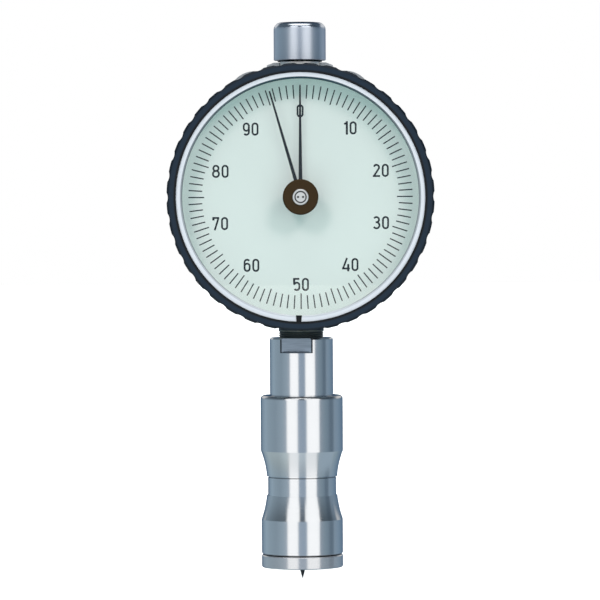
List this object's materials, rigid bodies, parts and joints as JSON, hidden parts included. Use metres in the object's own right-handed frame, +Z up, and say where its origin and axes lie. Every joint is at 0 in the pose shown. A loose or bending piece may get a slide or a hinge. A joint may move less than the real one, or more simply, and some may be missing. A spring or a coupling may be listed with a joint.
{
  "type": "dial durometer",
  "caption": "Hand-held hardness tester: a round dial with a turning bezel and a maximum-reading hand on a waisted steel barrel with a presser foot and a sprung cone indenter.",
  "frame": {"origin": "centre of the presser foot's face, the plane that is pressed on the specimen", "axes": "+Z up the spindle to the cap, -Y the way the dial faces, +X to the reader's right"},
  "size_m": [0.0584, 0.0237, 0.1229],
  "materials": {
    "turned_steel": "fine-turned satin stainless steel",
    "black_steel": "black oxide on turned thread",
    "case_metal": "satin silver",
    "bezel_plastic": "satin black moulding",
    "bright_aluminium": "bright satin",
    "clear_crystal": "clear acrylic",
    "dial_paint": "matt pale mint",
    "hand_paint": "matt black",
    "knob_brown": "dark brown",
    "polished_steel": "polished",
    "hard_steel": "ground",
    "spring_steel": "drawn wire",
    "brass": "machined"
  },
  "bodies": {
    "frame": {"presser_foot": "turned_steel", "lower_guide_bush": "brass", "grip_sleeve": "turned_steel", "spring_housing": "turned_steel", "spring_adjuster": "brass", "calibrated_spring": "spring_steel", "threaded_neck": "black_steel", "case": "case_metal", "bezel_spring_wire": "spring_steel", "back_cover": "case_metal", "back_cover_screws": "hard_steel", "upper_guide_bush": "polished_steel", "top_cap": "turned_steel", "main_plate": "brass", "main_plate_screws": "hard_steel", "front_bridge": "brass", "bridge_pillars": "brass", "bridge_screws": "hard_steel", "plate_bushes": "brass", "bridge_bushes": "brass", "cock_bush": "brass", "rear_cock": "brass", "rear_cock_screw": "hard_steel", "guide_block": "brass", "guide_block_screws": "hard_steel", "hairspring_stud": "brass", "hairspring": "spring_steel"},
    "spindle": {"spindle": "hard_steel", "indenter": "hard_steel", "spring_collar": "brass", "guide_pin": "hard_steel"},
    "drive": {"drive_arbor": "hard_steel", "rack_pinion": "hard_steel", "drive_gear": "brass"},
    "hand": {"centre_arbor": "hard_steel", "centre_pinion": "hard_steel", "main_hand": "hand_paint", "main_hand_hub": "hand_paint"},
    "takeup": {"takeup_arbor": "hard_steel", "takeup_gear": "brass", "hairspring_collet": "brass"},
    "bezel": {"bezel": "bezel_plastic", "retaining_ring": "bright_aluminium", "crystal": "clear_crystal", "dial_spacer": "bright_aluminium", "dial_plate": "dial_paint"},
    "drag": {"drag_hand": "hand_paint", "drag_washer": "polished_steel", "drag_knob": "knob_brown", "drag_shaft": "polished_steel"}
  },
  "joints": [
    {"name": "spindle_slide", "type": "slide", "parent": "frame", "child": "spindle", "axis": [0, 0, 1], "range_m": [0, 0.0025], "stiffness_N_per_m": 17780, "deforming": ["calibrated_spring"]},
    {"name": "drive_turn", "type": "hinge", "parent": "frame", "child": "drive", "pos_m": [-0.00375, 0, 0.07207], "axis": [0, 1, 0], "range_deg": [-61, 1]},
    {"name": "hand_turn", "type": "hinge", "parent": "frame", "child": "hand", "pos_m": [0, 0, 0.0819], "axis": [0, 1, 0], "range_deg": [-2, 362]},
    {"name": "takeup_turn", "type": "hinge", "parent": "frame", "child": "takeup", "pos_m": [0.00638, 0, 0.08828], "axis": [0, 1, 0], "range_deg": [-73, 1]},
    {"name": "bezel_turn", "type": "hinge", "parent": "frame", "child": "bezel", "pos_m": [0, 0, 0.0819], "axis": [0, 1, 0], "continuous": true},
    {"name": "drag_hand_turn", "type": "hinge", "parent": "bezel", "child": "drag", "pos_m": [0, 0, 0.0819], "axis": [0, 1, 0], "range_deg": [-338, 10]}
  ],
  "couplings": [
    {"joint": "drive_turn", "follows": "spindle_slide", "rad_per_m": -418.88},
    {"joint": "hand_turn", "follows": "spindle_slide", "rad_per_m": 2513.3},
    {"joint": "takeup_turn", "follows": "spindle_slide", "rad_per_m": -502.65}
  ]
}
